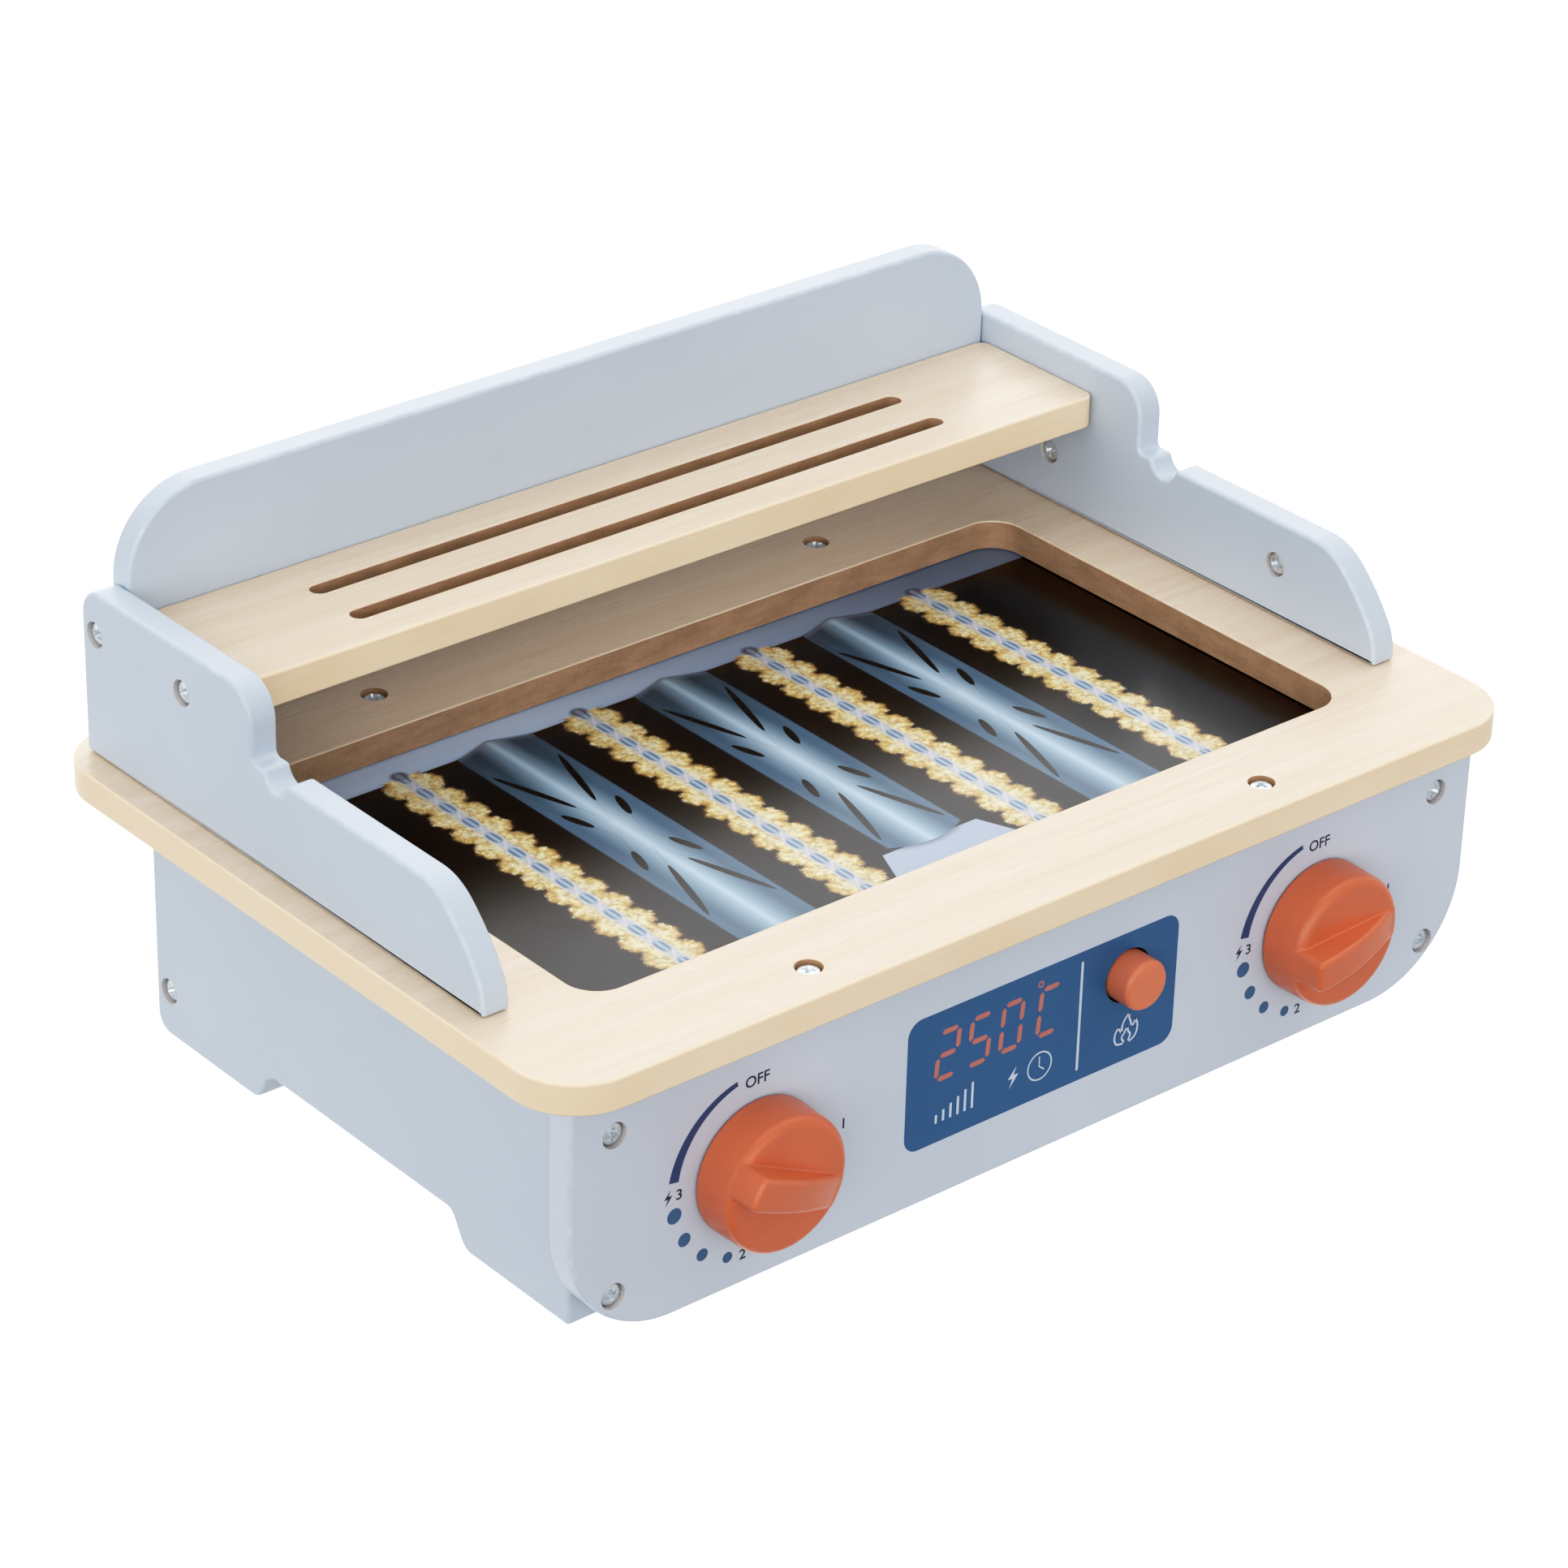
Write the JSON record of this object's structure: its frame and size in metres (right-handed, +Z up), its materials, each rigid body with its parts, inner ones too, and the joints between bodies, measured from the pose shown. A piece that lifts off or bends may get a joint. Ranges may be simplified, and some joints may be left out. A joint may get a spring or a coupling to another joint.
{
  "type": "toy barbecue grill",
  "caption": "Table-top toy barbecue: worktop with a printed burner basin, slotted shelf, spit notches, turning knobs and a push button.",
  "frame": {"origin": "bottom centre of the whole part's bounding box, on the surface it stands on", "axes": "+X to the right as seen from the front, +Y from the knobs to the backboard, +Z up"},
  "size_m": [0.35, 0.2506, 0.1655],
  "materials": {
    "painted_panel": "satin pale blue-grey paint on fibreboard",
    "painted_front": "satin pale blue-grey paint on fibreboard, with printed dials",
    "maple_laminate": "pale wood-grain laminate, satin",
    "printed_board": "glossy printed film on a thin board",
    "beech": "plain beech",
    "orange_plastic": "orange, satin",
    "white_plastic": "white, satin",
    "spring_steel": "drawn wire",
    "zinc_steel": "bright zinc plating"
  },
  "bodies": {
    "grill_base": {"back_panel": "painted_panel", "lower_side_left": "painted_panel", "lower_side_right": "painted_panel", "upper_side_left": "painted_panel", "upper_side_right": "painted_panel", "backboard": "painted_panel", "front_panel": "painted_front", "worktop": "maple_laminate", "shelf": "maple_laminate", "tray_board": "printed_board", "cleat_left": "beech", "cleat_right": "beech", "peg_front": "beech", "peg_rear": "beech", "button_housing": "white_plastic", "button_spring": "spring_steel", "worktop_screw_front_left": "zinc_steel", "worktop_screw_front_right": "zinc_steel", "worktop_screw_rear_left": "zinc_steel", "worktop_screw_rear_right": "zinc_steel", "panel_screw_top_left": "zinc_steel", "panel_screw_top_right": "zinc_steel", "panel_screw_bottom_left": "zinc_steel", "panel_screw_bottom_right": "zinc_steel", "lower_side_screw_left_low": "zinc_steel", "lower_side_screw_left_high": "zinc_steel", "lower_side_screw_right_low": "zinc_steel", "lower_side_screw_right_high": "zinc_steel", "upper_side_screw_left_shelf": "zinc_steel", "upper_side_screw_left_back": "zinc_steel", "upper_side_screw_right_shelf": "zinc_steel", "upper_side_screw_right_back": "zinc_steel", "under_screw_left_front": "zinc_steel", "under_screw_left_rear": "zinc_steel", "under_screw_left_back": "zinc_steel", "under_screw_right_front": "zinc_steel", "under_screw_right_rear": "zinc_steel", "under_screw_right_back": "zinc_steel", "peg_screw_front": "zinc_steel", "peg_screw_rear": "zinc_steel", "housing_screw_a": "zinc_steel", "housing_screw_b": "zinc_steel"},
    "knob_left_body": {"knob_left": "orange_plastic", "knob_washer_left": "zinc_steel", "knob_screw_left": "zinc_steel"},
    "knob_right_body": {"knob_right": "orange_plastic", "knob_washer_right": "zinc_steel", "knob_screw_right": "zinc_steel"},
    "button_body": {"push_button": "orange_plastic"}
  },
  "joints": [
    {"name": "knob_left_turn", "type": "hinge", "parent": "grill_base", "child": "knob_left_body", "pos_m": [-0.10345, -0.10179, 0.0366], "axis": [0, -1, 0], "range_deg": [-64, 206]},
    {"name": "knob_right_turn", "type": "hinge", "parent": "grill_base", "child": "knob_right_body", "pos_m": [0.10345, -0.10179, 0.0366], "axis": [0, -1, 0], "range_deg": [-92.5, 177.5]},
    {"name": "button_press", "type": "slide", "parent": "grill_base", "child": "button_body", "axis": [0, 1, 0], "range_m": [0, 0.0035], "stiffness_N_per_m": 300, "springref_m": -0.002, "deforming": ["button_spring"]}
  ]
}
